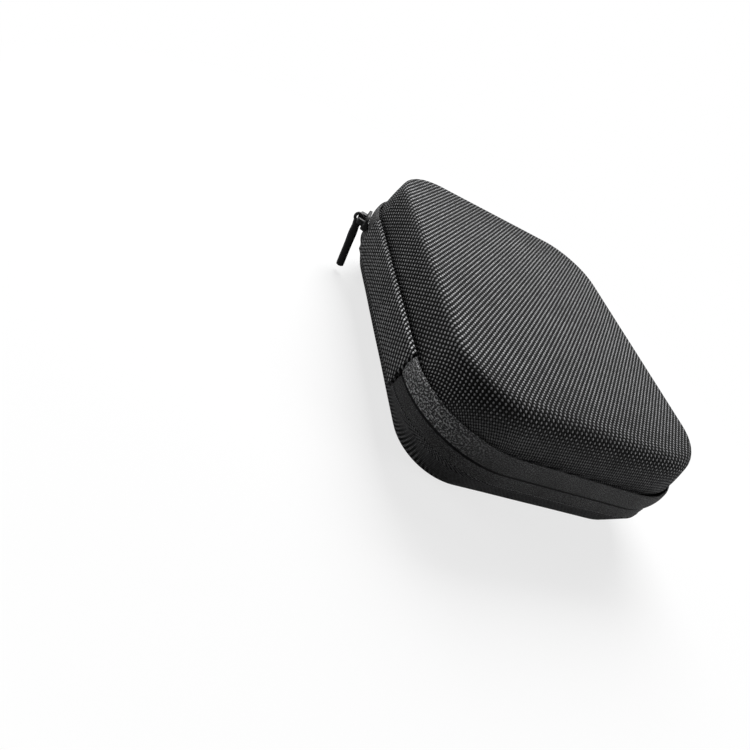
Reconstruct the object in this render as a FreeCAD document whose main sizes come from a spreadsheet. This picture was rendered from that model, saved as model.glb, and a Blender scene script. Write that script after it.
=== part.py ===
import FreeCAD, Part
import math
import os
import re
import Sketcher
from FreeCAD import Placement, Rotation, Vector

# Hard carrying case with a zip round three sides and a cloth spine on the fourth.
# Millimetres. X runs across the case with the spine at -X, Y along the spine, Z up.
# The origin is the centre of the flat underside.

DRIVING_SIZES = [
    ("case_width", 125.0, "outside of the zip band, across the spine"),
    ("case_length", 150.0, "outside of the zip band, along the spine"),
    ("case_height", 46.5, "underside to the top of the lid"),
    ("seam_height", 22.5, "line where the two tapes meet"),
    ("upper_reach", 8.5, "upper edge of the zip band above the seam"),
    ("lower_reach", 7.0, "lower edge of the zip band below the seam"),
    ("corner_radius", 34.0, "plan radius of the zip band"),
    ("shell_wall", 3.2, "moulded laminate: cloth, foam and lining"),
    ("lid_inset", 3.1, "lid wall inside the band, at its rim"),
    ("lid_tuck", 3.9, "how much tighter the lid's corners are than the band's"),
    ("lid_draft", 8.0, "lean of the lid wall, degrees"),
    ("lid_edge", 3.2, "rounding round the lid's top"),
    ("base_inset", 2.2, "base wall inside the band, under its edge"),
    ("base_tuck", 4.8, "how much tighter the base's corners are than the band's"),
    ("base_draft", 28.0, "lean of the base wall, degrees"),
    ("base_edge", 11.0, "rounding round the underside"),
    ("base_inner_edge", 5.0, "slope inside the base, between floor and wall"),
    ("flange_thick", 1.2, "moulded lip that the tapes are sewn to"),
    ("lid_flange_step", 0.9, "band edge above the lid's lip"),
    ("base_flange_step", 0.4, "base's lip above the band edge"),
    ("lid_lip_inset", 1.7, "lid's lip inside the band"),
    ("base_lip_inset", 2.3, "base's lip inside the band"),
    ("tape_thick", 1.2, "zip tape, from its crest to its flat back"),
    ("tape_bulge", 14.0, "radius of the tape's pillowed face"),
    ("upper_bulge", 4.5, "where the upper tape stands proudest, above the seam"),
    ("lower_bulge", 3.7, "where the lower tape stands proudest, below the seam"),
    ("lower_step", 0.7, "lower tape inside the upper one"),
    ("seam_gap", 1.0, "between the two tapes"),
    ("spine_end_gap", 0.5, "between the spine's ends and the corners"),
    ("spine_thick", 1.6, "cloth spine, from its crest to its flat back"),
    ("spine_proud", 0.6, "spine outside the band"),
    ("spine_bulge", 50.0, "radius of the spine's face"),
    ("seat_gap", 0.3, "between soft pieces that meet"),
    ("coil_width", 2.4, "half of the zip chain, across the tape"),
    ("coil_thick", 2.0, "half of the zip chain, through the tape"),
    ("coil_depth", 3.2, "middle of the chain inside the band"),
    ("binding_width", 4.4, "bound edge inside the rim"),
    ("binding_thick", 0.9, "bound edge inside the rim"),
    ("binding_inset", 2.4, "bound edge inside the band"),
    ("closed_end_angle", 31.5, "corner arc of the tape beyond the last teeth, degrees"),
    ("slider_angle", 160.0, "where the closed slider sits round the corner, degrees"),
    ("slider_length", 10.5, "slider, along the zip"),
    ("slider_width", 7.8, "slider across its shoulders"),
    ("slider_tail", 7.2, "slider across its tail"),
    ("slider_plate", 1.2, "slider's plates"),
    ("slider_gap", 0.3, "slider's outer plate off the tape"),
    ("slider_depth", 4.9, "slider's inner plate inside the band"),
    ("slider_neck", 0.4, "web between the plates, across the seam"),
    ("slider_lip", 0.4, "inner plate's turned-out edges"),
    ("slider_lip_reach", 2.2, "how far they reach towards the tape"),
    ("bridge_width", 1.0, "bridge's bar, across the seam"),
    ("bridge_thick", 1.0, "bridge's bar, away from the plate"),
    ("bridge_rise", 3.3, "bridge above the outer plate"),
    ("bridge_length", 9.4, "bridge, along the zip"),
    ("post_width", 2.8, "bridge's posts, across the seam"),
    ("post_gap", 1.5, "between the posts and the pull's eye"),
    ("pull_length", 22.6, "pull, from its pivot to its tip"),
    ("pull_width", 3.4, "pull near its tip"),
    ("pull_waist", 3.2, "pull below its eye"),
    ("pull_thick", 2.2, "pull"),
    ("pull_eye", 4.7, "diameter of the pull's eye"),
    ("pull_hole", 3.0, "hole in the pull's eye"),
    ("pull_shift", 0.6, "pull along the bridge"),
    ("pull_inward", 10.1, "pull leans in under the band, degrees"),
    ("pull_lean", 23.3, "pull leans along the zip, degrees"),
    ("net_rise", 9.1, "net's underside above the seam"),
    ("net_thick", 0.6, "net"),
    ("net_reach", 18.0, "net's free edge, beyond the middle of the lid"),
    ("hem_width", 8.0, "elastic hem of the net"),
    ("hem_thick", 1.2, "elastic hem of the net"),
    ("strap_width", 25.0, "elastic strap across the base"),
    ("strap_thick", 1.2, "elastic strap across the base"),
    ("strap_drop", 12.5, "underside of the strap below the seam"),
    ("strap_tab", 5.0, "sewn end of the strap, up the wall"),
]

doc = FreeCAD.newDocument("carrying_case")
sheet = doc.addObject("Spreadsheet::Sheet", "Sizes")
for row, (size_name, size_value, note) in enumerate(DRIVING_SIZES, start=1):
    sheet.set(f"A{row}", size_name)
    sheet.set(f"B{row}", str(size_value))
    sheet.set(f"C{row}", note)
    sheet.setAlias(f"B{row}", size_name)
doc.recompute()


SIZE_NAMES = {entry[0] for entry in DRIVING_SIZES}


def cells(text):
    """An expression of size names, with each name written as the sheet's cell."""
    return re.sub("[a-z_]+", lambda m: f"Sizes.{m[0]}" if m[0] in SIZE_NAMES else m[0], text)


def size(text):
    """The number that an expression of size names gives now."""
    result = sheet.evalExpression(cells(text))
    return float(getattr(result, "Value", result))


def bind(feature, prop, text):
    """Ties a property to an expression of size names."""
    feature.setExpression(prop, cells(text))


BAND_TOP = "(seam_height + upper_reach)"
BAND_BOTTOM = "(seam_height - lower_reach)"
SPINE_LENGTH = "(case_length - 2 * (corner_radius + spine_end_gap))"
NET_HEIGHT = "(seam_height + net_rise)"
STRAP_HEIGHT = "(seam_height - strap_drop)"
LID_RIM = f"({BAND_TOP} - lid_flange_step - flange_thick)"
LID_CORNER = "(corner_radius - lid_inset - lid_tuck)"
BASE_RIM = f"({BAND_BOTTOM} + base_flange_step + flange_thick)"
BASE_LEDGE = f"({BAND_BOTTOM} - seat_gap)"
BASE_CORNER = "(corner_radius - base_inset - base_tuck)"
NET_INSET = f"(lid_inset + (shell_wall + seat_gap) / cos(lid_draft) + " \
            f"({NET_HEIGHT} + net_thick - {LID_RIM}) * tan(lid_draft))"
CLOSED_END_CUT = "(closed_end_angle + 180 / pi * seat_gap / corner_radius)"
HALF_TURN = Placement(Vector(), Rotation(Vector(0, 0, 1), 180))


def new_body(label):
    body = doc.addObject("PartDesign::Body", label)
    body.Label = label
    return body


def new_sketch(body, name, role="XY_Plane", offset="0"):
    """A sketch on one of the body's own planes, moved along its normal."""
    sketch = body.newObject("Sketcher::SketchObject", name)
    plane = next(f for f in body.Origin.OriginFeatures if f.Role == role)
    sketch.AttachmentSupport = (plane, [""])
    sketch.MapMode = "FlatFace"
    bind(sketch, "AttachmentOffset.Base.z", offset)
    return sketch


def dimension(sketch, name, constraint, text):
    """Adds a named constraint whose value is an expression of the sizes."""
    number = sketch.addConstraint(Sketcher.Constraint(*constraint, size(text)))
    sketch.renameConstraint(number, name)
    bind(sketch, f"Constraints.{name}", text)


def locate(sketch, name, edge, end, across, up):
    """Fixes a point of the sketch at a place given by two expressions."""
    dimension(sketch, f"{name}_across", ("DistanceX", -1, 1, edge, end), across)
    dimension(sketch, f"{name}_up", ("DistanceY", -1, 1, edge, end), up)


def rounded_outline(sketch, width, length, radius):
    """A rectangle about the origin with a round of one radius at each corner."""
    half_w = size(width) / 2
    half_l = size(length) / 2
    r = size(radius)
    corners = [(1, 1), (-1, 1), (-1, -1), (1, -1)]
    straights = [
        ((half_w, r - half_l), (half_w, half_l - r)),
        ((half_w - r, half_l), (r - half_w, half_l)),
        ((-half_w, half_l - r), (-half_w, r - half_l)),
        ((r - half_w, -half_l), (half_w - r, -half_l)),
    ]
    edges = []
    for turn, (start, end) in enumerate(straights):
        edges.append(sketch.addGeometry(Part.LineSegment(Vector(*start, 0), Vector(*end, 0))))
        side, front = corners[turn]
        centre = Vector(side * (half_w - r), front * (half_l - r), 0)
        circle = Part.Circle(centre, Vector(0, 0, 1), r)
        arc = Part.ArcOfCircle(circle, turn * math.pi / 2, (turn + 1) * math.pi / 2)
        edges.append(sketch.addGeometry(arc))
    for here, there in zip(edges, edges[1:] + edges[:1]):
        sketch.addConstraint(Sketcher.Constraint("Tangent", here, 2, there, 1))
    for upright in (edges[0], edges[4]):
        sketch.addConstraint(Sketcher.Constraint("Vertical", upright))
    for level in (edges[2], edges[6]):
        sketch.addConstraint(Sketcher.Constraint("Horizontal", level))
    for other in (edges[3], edges[5], edges[7]):
        sketch.addConstraint(Sketcher.Constraint("Equal", edges[1], other))
    sketch.addConstraint(Sketcher.Constraint("Symmetric", edges[0], 1, edges[4], 1, -1, 1))
    dimension(sketch, "width", ("DistanceX", edges[4], 1, edges[0], 1), width)
    dimension(sketch, "length", ("DistanceY", edges[6], 1, edges[2], 1), length)
    dimension(sketch, "radius", ("Radius", edges[1]), radius)


def polygon(sketch, points):
    """Straight sides through points, each given as two expressions."""
    values = [(size(a), size(b)) for a, b in points]
    count = len(points)
    for corner in range(count):
        start = Vector(*values[corner], 0)
        end = Vector(*values[(corner + 1) % count], 0)
        sketch.addGeometry(Part.LineSegment(start, end))
    for corner in range(count):
        following = (corner + 1) % count
        sketch.addConstraint(Sketcher.Constraint("Coincident", corner, 2, following, 1))
        locate(sketch, f"point{corner}", corner, 1, *points[corner])


def circle(sketch, across, up, radius):
    centre = Vector(size(across), size(up), 0)
    edge = sketch.addGeometry(Part.Circle(centre, Vector(0, 0, 1), size(radius)))
    locate(sketch, f"centre{edge}", edge, 3, across, up)
    dimension(sketch, f"radius{edge}", ("Radius", edge), radius)


def pad(body, name, sketch, length, draft=None, down=False, both_ways=False):
    """A solid grown from a sketch; draft is the inward lean of its sides."""
    feature = body.newObject("PartDesign::Pad", name)
    feature.Profile = sketch
    feature.Reversed = down
    feature.Midplane = both_ways
    bind(feature, "Length", length)
    if draft:
        bind(feature, "TaperAngle", f"0 - {draft}")
    return feature


def pocket(body, name, sketch, length, draft=None, up=False, both_ways=False):
    """A cut from a sketch, downwards unless told otherwise."""
    feature = body.newObject("PartDesign::Pocket", name)
    feature.Profile = sketch
    feature.Reversed = up
    feature.Midplane = both_ways
    bind(feature, "Length", length)
    if draft:
        bind(feature, "TaperAngle", f"0 - {draft}")
    return feature


def fillet(body, name, radius, wanted):
    """Rounds the edges of the body so far for which wanted(edge) holds."""
    doc.recompute()
    base = body.Tip
    names = [f"Edge{n}" for n, edge in enumerate(base.Shape.Edges, start=1) if wanted(edge)]
    feature = body.newObject("PartDesign::Fillet", name)
    feature.Base = (base, names)
    bind(feature, "Radius", radius)
    doc.recompute()
    return feature


def chamfer(body, name, width, wanted):
    """Cuts a slope along the edges of the body so far for which wanted(edge) holds."""
    doc.recompute()
    base = body.Tip
    names = [f"Edge{n}" for n, edge in enumerate(base.Shape.Edges, start=1) if wanted(edge)]
    feature = body.newObject("PartDesign::Chamfer", name)
    feature.Base = (base, names)
    bind(feature, "Size", width)
    doc.recompute()
    return feature


def level_edge(low, high):
    """A test for edges that lie wholly between two heights."""
    return lambda edge: low < edge.BoundBox.ZMin and edge.BoundBox.ZMax < high


def inset_outline(sketch, inset, radius):
    """A rounded outline at one distance inside the zip band."""
    width = f"case_width - 2 * ({inset})"
    length = f"case_length - 2 * ({inset})"
    rounded_outline(sketch, width, length, radius)


def lid_shell():
    """Moulded lid: walls that lean in, a rounded top edge and a sewing lip."""
    body = new_body("lid_shell")
    walls = new_sketch(body, "lid_wall_outline", offset=LID_RIM)
    inset_outline(walls, "lid_inset", LID_CORNER)
    pad(body, "lid_walls", walls, f"case_height - {LID_RIM}", draft="lid_draft")
    top = size("case_height")
    fillet(body, "lid_top_edge", "lid_edge", level_edge(top - 0.1, top + 0.1))
    lip = new_sketch(body, "lid_lip_outline", offset=LID_RIM)
    inset_outline(lip, "lid_lip_inset", "corner_radius - lid_lip_inset")
    pad(body, "lid_lip", lip, "flange_thick")
    hollow = new_sketch(body, "lid_hollow_outline", offset=LID_RIM)
    thick = "shell_wall / cos(lid_draft)"
    inset_outline(hollow, f"lid_inset + {thick}", f"{LID_CORNER} - {thick}")
    depth = f"case_height - shell_wall - {LID_RIM}"
    pocket(body, "lid_hollow", hollow, depth, draft="lid_draft", up=True)
    return body


def base_shell():
    """Moulded base: walls that lean in, a big round underneath and a sewing lip."""
    body = new_body("base_shell")
    walls = new_sketch(body, "base_wall_outline", offset=BASE_LEDGE)
    inset_outline(walls, "base_inset", BASE_CORNER)
    pad(body, "base_walls", walls, BASE_LEDGE, draft="base_draft", down=True)
    fillet(body, "base_bottom_edge", "base_edge", level_edge(-0.1, 0.1))
    lip = new_sketch(body, "base_lip_outline", offset=BASE_LEDGE)
    inset_outline(lip, "base_lip_inset", "corner_radius - base_lip_inset")
    pad(body, "base_lip", lip, f"{BASE_RIM} - {BASE_LEDGE}")
    hollow = new_sketch(body, "base_hollow_outline", offset=BASE_RIM)
    thick = f"(shell_wall / cos(base_draft) - ({BASE_RIM} - {BASE_LEDGE}) * tan(base_draft))"
    inset_outline(hollow, f"base_inset + {thick}", f"{BASE_CORNER} - {thick}")
    pocket(body, "base_hollow", hollow, f"{BASE_RIM} - shell_wall", draft="base_draft")
    floor = size("shell_wall")
    chamfer(body, "base_inner_slope", "base_inner_edge", level_edge(floor - 0.1, floor + 0.1))
    return body


def band_section(sketch, outer, thick, bulge, crest, low, high):
    """A strip of tape cut across: a round outer face, flat ends and a flat back.

    outer is the strip's outermost place and crest the height where it is reached."""
    r = size(bulge)
    back = f"{outer} - ({thick})"
    centre = Vector(size(outer) - r, size(crest), 0)
    bottom = Vector(size(back), size(low), 0)
    top = Vector(size(back), size(high), 0)
    start = math.asin((bottom.y - centre.y) / r)
    end = math.asin((top.y - centre.y) / r)
    arc = sketch.addGeometry(Part.ArcOfCircle(Part.Circle(centre, Vector(0, 0, 1), r), start, end))
    face = sketch.Geometry[arc]
    upper = sketch.addGeometry(Part.LineSegment(face.EndPoint, top))
    rear = sketch.addGeometry(Part.LineSegment(top, bottom))
    lower = sketch.addGeometry(Part.LineSegment(bottom, face.StartPoint))
    sketch.addConstraint(Sketcher.Constraint("Coincident", arc, 2, upper, 1))
    sketch.addConstraint(Sketcher.Constraint("Coincident", upper, 2, rear, 1))
    sketch.addConstraint(Sketcher.Constraint("Coincident", rear, 2, lower, 1))
    sketch.addConstraint(Sketcher.Constraint("Coincident", lower, 2, arc, 1))
    sketch.addConstraint(Sketcher.Constraint("Horizontal", upper))
    sketch.addConstraint(Sketcher.Constraint("Horizontal", lower))
    locate(sketch, "centre", arc, 3, f"{outer} - ({bulge})", crest)
    locate(sketch, "back_top", rear, 1, back, high)
    locate(sketch, "back_bottom", rear, 2, back, low)
    dimension(sketch, "outer_face", ("Radius", arc), bulge)


def section_sketch(body, name):
    """A sketch across the band where its right straight begins."""
    return new_sketch(body, name, role="XZ_Plane", offset="case_length / 2 - corner_radius")


def sweep(body, name, section, path, edges):
    """Carries a section along a path that lies level."""
    feature = body.newObject("PartDesign::AdditivePipe", name)
    feature.Profile = section
    feature.Spine = (path, edges)
    feature.Mode = "Standard"
    return feature


def band_path(body):
    """The zip's way round the case, from the start of the right straight."""
    path = new_sketch(body, f"{body.Label}_path", offset="seam_height")
    rounded_outline(path, "case_width", "case_length", "corner_radius")
    return path


def spine_opening(body, length, corner_arc=None):
    """Cuts a swept ring open at the spine, and past the last teeth if told to."""
    opening = new_sketch(body, f"{body.Label}_opening", offset="seam_height")
    inner = "corner_radius - case_width / 2"
    outer = "0 - case_width"
    corner = "case_length / 2 - corner_radius"
    points = [(inner, f"0 - {length} / 2"), (outer, f"0 - {length} / 2")]
    if corner_arc:
        points.append((outer, f"{corner} + (case_width / 2 + corner_radius) * tan({corner_arc})"))
        points.append((inner, corner))
    else:
        points.append((outer, f"{length} / 2"))
        points.append((inner, f"{length} / 2"))
    polygon(opening, points)
    pocket(body, f"{body.Label}_cut", opening, "4 * case_height", both_ways=True)


def zip_tape(label, draw_section, corner_arc=None):
    """One of the two tapes round the three open sides."""
    body = new_body(label)
    path = band_path(body)
    section = section_sketch(body, f"{label}_section")
    draw_section(section)
    sweep(body, f"{label}_sweep", section, path, [f"Edge{n}" for n in range(1, 9)])
    spine_opening(body, f"({SPINE_LENGTH} + 2 * seat_gap)", corner_arc)
    return body


def zip_coil(label, middle, corner_arc=None):
    """One half of the zip's chain, sewn behind its tape."""
    body = new_body(label)
    path = band_path(body)
    section = section_sketch(body, f"{label}_section")
    across = "case_width / 2 - coil_depth"
    points = []
    for side, up in ((-1, -1), (1, -1), (1, 1), (-1, 1)):
        points.append((f"{across} + {side} * coil_thick / 2", f"{middle} + {up} * coil_width / 2"))
    polygon(section, points)
    sweep(body, f"{label}_sweep", section, path, [f"Edge{n}" for n in range(1, 9)])
    spine_opening(body, f"({SPINE_LENGTH} + 2 * seat_gap)", corner_arc)
    return body


def closed_end():
    """The lid's tape past its last teeth, which folds as the lid opens.

    It is drawn at the opposite corner and turned half round."""
    body = new_body("zip_closed_end")
    path = new_sketch(body, "closed_end_path", offset="seam_height")
    radius = size("corner_radius")
    turn = math.radians(size("closed_end_angle"))
    middle = Vector(size("case_width") / 2 - radius, radius - size("case_length") / 2, 0)
    ring = Part.Circle(middle, Vector(0, 0, 1), radius)
    arc = path.addGeometry(Part.ArcOfCircle(ring, -turn, 0))
    locate(path, "centre", arc, 3, "case_width / 2 - corner_radius", "corner_radius - case_length / 2")
    path.addConstraint(Sketcher.Constraint("Horizontal", arc, 2, arc, 3))
    dimension(path, "radius", ("Radius", arc), "corner_radius")
    drop = "0 - corner_radius * sin(closed_end_angle)"
    dimension(path, "drop", ("DistanceY", arc, 3, arc, 1), drop)
    section = section_sketch(body, "closed_end_section")
    upper_section(section)
    sweep(body, "closed_end_sweep", section, path, ["Edge1"])
    body.Placement = HALF_TURN
    return body


def upper_section(sketch):
    """The lid's tape cut across."""
    low = "seam_height + seam_gap / 2"
    crest = "seam_height + upper_bulge"
    band_section(sketch, "case_width / 2", "tape_thick", "tape_bulge", crest, low, BAND_TOP)


def lower_section(sketch):
    """The base's tape cut across."""
    high = "seam_height - seam_gap / 2"
    outer = "case_width / 2 - lower_step"
    crest = "seam_height - lower_bulge"
    band_section(sketch, outer, "tape_thick", "tape_bulge", crest, BAND_BOTTOM, high)


def spine():
    """Cloth spine that joins lid and base, drawn at the right side and turned."""
    body = new_body("spine_gusset")
    section = new_sketch(body, "spine_section", role="XZ_Plane")
    crest = f"({BAND_BOTTOM} + {BAND_TOP}) / 2"
    band_section(section, "case_width / 2 + spine_proud", "spine_thick", "spine_bulge", crest,
                 BAND_BOTTOM, BAND_TOP)
    pad(body, "spine_strip", section, SPINE_LENGTH, both_ways=True)
    body.Placement = HALF_TURN
    return body


def bound_edge(label, height):
    """A folded tape bound round the inner edge of a shell's rim."""
    body = new_body(label)
    outside = new_sketch(body, f"{label}_outline", offset=height)
    inset_outline(outside, "binding_inset", "corner_radius - binding_inset")
    pad(body, f"{label}_strip", outside, "binding_thick")
    inside = new_sketch(body, f"{label}_inner_outline", offset=height)
    inset_outline(inside, "binding_inset + binding_width", "corner_radius - binding_inset - binding_width")
    pocket(body, f"{label}_opening", inside, "binding_thick", up=True)
    return body


def net_pocket():
    """Net across the inside of the lid, open towards the zip's long side."""
    body = new_body("lid_net_pocket")
    outline = new_sketch(body, "net_outline", offset=NET_HEIGHT)
    inset_outline(outline, NET_INSET, f"{LID_CORNER} - shell_wall - seat_gap")
    pad(body, "net_sheet", outline, "net_thick")
    free_side = new_sketch(body, "net_free_side", offset=NET_HEIGHT)
    polygon(free_side, [
        ("net_reach", "0 - case_length"),
        ("case_width", "0 - case_length"),
        ("case_width", "case_length"),
        ("net_reach", "case_length"),
    ])
    pocket(body, "net_trim", free_side, "4 * net_thick", both_ways=True)
    return body


def net_hem():
    """Elastic tape folded over the net's free edge."""
    body = new_body("net_hem")
    outline = new_sketch(body, "hem_outline", offset=f"{NET_HEIGHT} - (hem_thick - net_thick) / 2")
    half = f"(case_length / 2 - {NET_INSET})"
    polygon(outline, [
        ("net_reach", f"0 - {half}"),
        ("net_reach + hem_width", f"0 - {half}"),
        ("net_reach + hem_width", half),
        ("net_reach", half),
    ])
    pad(body, "hem_strip", outline, "hem_thick")
    free_edge = size("net_reach + hem_width") - 0.1
    fillet(body, "hem_round", "hem_thick * 0.4",
           lambda edge: edge.BoundBox.YLength > 0.9 * edge.Length and edge.BoundBox.XMin > free_edge)
    return body


def base_strap():
    """Elastic strap across the base, its ends turned up and sewn to the walls."""
    body = new_body("base_strap")
    section = new_sketch(body, "strap_section", role="XZ_Plane")
    lean = "tan(base_draft)"
    wall = "(case_width / 2 - base_inset - (shell_wall + seat_gap) / cos(base_draft))"
    low = f"({wall} - ({BASE_LEDGE} - {STRAP_HEIGHT}) * {lean})"
    tip_height = f"({STRAP_HEIGHT} + strap_tab)"
    tip = f"({wall} - ({BASE_LEDGE} - {tip_height}) * {lean})"
    shift = "(strap_thick / cos(base_draft))"
    top = f"({STRAP_HEIGHT} + strap_thick)"
    polygon(section, [
        (f"0 - {low}", STRAP_HEIGHT),
        (low, STRAP_HEIGHT),
        (tip, tip_height),
        (f"{tip} - {shift}", tip_height),
        (f"{low} - {shift} + strap_thick * {lean}", top),
        (f"0 - ({low} - {shift} + strap_thick * {lean})", top),
        (f"0 - ({tip} - {shift})", tip_height),
        (f"0 - {tip}", tip_height),
    ])
    pad(body, "strap_band", section, "strap_width", both_ways=True)
    return body


def slider_plate(body, name, offset, thick):
    """A shield-shaped plate with its shoulders towards the closed end."""
    sketch = new_sketch(body, f"{name}_outline", role="YZ_Plane", offset=offset)
    nose = "slider_length / 2"
    shoulder = "slider_length * 0.22"
    polygon(sketch, [
        (nose, "slider_width * 0.27"),
        (shoulder, "slider_width / 2"),
        (f"0 - {nose}", "slider_tail / 2"),
        (f"0 - {nose}", "0 - slider_tail / 2"),
        (shoulder, "0 - slider_width / 2"),
        (nose, "0 - slider_width * 0.27"),
    ])
    return pad(body, name, sketch, thick)


def slider():
    """Zip slider: two plates joined by a thin neck, with a bridge for the pull.

    Drawn with X out of the case and Y towards the closed end."""
    body = new_body("zip_slider")
    outer_face = "slider_gap"
    slider_plate(body, "outer_plate", outer_face, "slider_plate")
    doc.recompute()
    fillet(body, "outer_plate_corners", "slider_plate * 0.8",
           lambda edge: edge.BoundBox.XLength > 0.9 * edge.Length)
    top = size("slider_gap + slider_plate")
    chamfer(body, "outer_plate_slope", "slider_plate * 0.3",
            lambda edge: edge.BoundBox.XMin > top - 0.01)
    neck = new_sketch(body, "neck_outline", role="YZ_Plane", offset=f"{outer_face} + slider_plate / 2")
    nose = "slider_length / 2 - slider_plate"
    polygon(neck, [
        (nose, "slider_neck / 2"),
        ("slider_length * 0.2", "slider_neck / 2"),
        ("slider_length * 0.2", "0 - slider_neck / 2"),
        (nose, "0 - slider_neck / 2"),
    ])
    pad(body, "neck", neck, f"{outer_face} + slider_plate + slider_depth", down=True)
    slider_plate(body, "inner_plate", "0 - slider_depth - slider_plate", "slider_plate")
    within = "0 - slider_depth - slider_plate / 2"
    for side, name in ((1, "upper_lip"), (-1, "lower_lip")):
        lip = new_sketch(body, f"{name}_outline", role="YZ_Plane", offset=within)
        start = "0 - slider_length / 2 + slider_lip"
        end = "slider_length * 0.2"
        tail_edge = "(slider_tail / 2)"
        edge = "(slider_width / 2)"
        polygon(lip, [
            (start, f"{side} * {tail_edge}"),
            (end, f"{side} * {edge}"),
            (end, f"{side} * ({edge} - slider_lip)"),
            (start, f"{side} * ({tail_edge} - slider_lip)"),
        ])
        pad(body, name, lip, "slider_lip_reach + slider_plate / 2")
    bridge(body, f"{outer_face} + slider_plate")
    body.Placement = slider_place()
    return body


def bridge(body, foot):
    """An arch over the outer plate, with its bar along the zip."""
    arch = new_sketch(body, "bridge_outline")
    half = "bridge_length / 2"
    crest = f"({foot} + bridge_rise)"
    slope = "bridge_rise * 0.2"
    root = f"({foot} - slider_plate / 2)"
    polygon(arch, [
        (root, f"0 - {half}"),
        (crest, f"0 - {half} + {slope}"),
        (crest, f"{half} - {slope}"),
        (root, half),
        (root, f"{half} - bridge_thick"),
        (f"{crest} - bridge_thick", f"{half} - {slope} - bridge_thick"),
        (f"{crest} - bridge_thick", f"0 - {half} + {slope} + bridge_thick"),
        (root, f"0 - {half} + bridge_thick"),
    ])
    pad(body, "bridge", arch, "bridge_width", both_ways=True)
    shoulder = f"({crest} - bridge_thick / 2)"
    clear = "(pull_thick / 2 + post_gap)"
    for name, side in (("rear_post", "0 -"), ("front_post", "0 +")):
        inner = f"pull_shift {side[-1]} {clear}"
        post = new_sketch(body, f"{name}_outline")
        polygon(post, [
            (root, f"{side} {half}"),
            (shoulder, f"{side} ({half} - {slope})"),
            (shoulder, inner),
            (root, inner),
        ])
        pad(body, name, post, "post_width", both_ways=True)
    high = size(crest)
    chamfer(body, "bridge_slope", "bridge_thick * 0.25",
            lambda edge: edge.BoundBox.XMin > high - 0.01 and edge.BoundBox.YLength > 1)


def slider_place():
    """Where the closed slider sits: on the corner's arc, square to it."""
    angle = size("slider_angle")
    radius = size("corner_radius")
    centre = Vector(radius - size("case_width") / 2, size("case_length") / 2 - radius, 0)
    turn = Rotation(Vector(0, 0, 1), angle)
    spot = centre + turn.multVec(Vector(radius, 0, 0)) + Vector(0, 0, size("seam_height"))
    return Placement(spot, turn)


def pull():
    """Zip pull: an eye round the bridge's bar and a waisted grip that hangs from it."""
    body = new_body("zip_pull")
    grip = new_sketch(body, "pull_grip_outline", role="XZ_Plane")
    waist = "0 - pull_eye / 2 - pull_waist / 2"
    tip = "0 - pull_length"
    cheek = "pull_eye * 0.21"
    polygon(grip, [
        (f"0 - {cheek}", "pull_eye / 2"),
        ("0 - pull_eye / 2", cheek),
        ("0 - pull_eye / 2", f"0 - {cheek}"),
        ("0 - pull_waist / 2", waist),
        ("0 - pull_width / 2", f"{waist} - 2 * pull_width"),
        ("0 - pull_width / 2", tip),
        ("pull_width / 2", tip),
        ("pull_width / 2", f"{waist} - 2 * pull_width"),
        ("pull_waist / 2", waist),
        ("pull_eye / 2", f"0 - {cheek}"),
        ("pull_eye / 2", cheek),
        (cheek, "pull_eye / 2"),
    ])
    pad(body, "pull_grip", grip, "pull_thick", both_ways=True)
    hole = new_sketch(body, "pull_hole_outline", role="XZ_Plane")
    circle(hole, "0", "0", "pull_hole / 2")
    pocket(body, "pull_hole", hole, "2 * pull_thick", both_ways=True)
    end = size(tip)
    fillet(body, "pull_tip", "pull_width * 0.45",
           lambda edge: edge.BoundBox.ZMax < end + 0.01 and edge.BoundBox.YLength > 0.9 * edge.Length)
    chamfer(body, "pull_slope", "pull_thick * 0.2",
            lambda edge: edge.BoundBox.YLength < 0.01 and edge.Closed is False)
    body.Placement = pull_place()
    return body


def pull_place():
    """Hung on the bridge's bar, leaning in under the band and along the zip."""
    seat = "slider_gap + slider_plate + bridge_rise - bridge_thick / 2"
    pivot = Vector(size(seat), size("pull_shift"), 0)
    inward = Rotation(Vector(0, 1, 0), size("pull_inward"))
    lean = Rotation(Vector(1, 0, 0), size("pull_lean"))
    return slider_place() * Placement(pivot, inward * lean)


NODES = [
    lid_shell(),
    base_shell(),
    spine(),
    zip_tape("upper_zip_tape", upper_section, CLOSED_END_CUT),
    zip_tape("lower_zip_tape", lower_section),
    closed_end(),
    zip_coil("upper_zip_coil", "seam_height + seam_gap / 2 + coil_width / 2", CLOSED_END_CUT),
    zip_coil("lower_zip_coil", "seam_height - seam_gap / 2 - coil_width / 2"),
    bound_edge("lid_bound_edge", f"{LID_RIM} - binding_thick - seat_gap"),
    bound_edge("base_bound_edge", f"{BASE_RIM} + seat_gap"),
    net_pocket(),
    net_hem(),
    base_strap(),
    slider(),
    pull(),
]
doc.recompute()

for thing in doc.Objects:
    bad = {"Invalid", "Error"} & set(thing.State)
    if bad:
        raise RuntimeError(f"{thing.Name} is {sorted(bad)}")
os.makedirs("parts", exist_ok=True)
for node in NODES:
    if node.Shape.isNull() or not node.Shape.isValid() or not node.Shape.Solids:
        raise RuntimeError(f"{node.Label} has no valid solid")
    node.Shape.exportStep(f"parts/{node.Label}.step")
    box = node.Shape.BoundBox
    print(f"{node.Label}: {node.Shape.Volume:.0f} mm3, {len(node.Shape.Solids)} solid, "
          f"x {box.XMin:.1f} to {box.XMax:.1f}, y {box.YMin:.1f} to {box.YMax:.1f}, "
          f"z {box.ZMin:.1f} to {box.ZMax:.1f}")
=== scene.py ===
import math

import bmesh
import bpy
from mathutils import Matrix, Vector, noise


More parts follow.
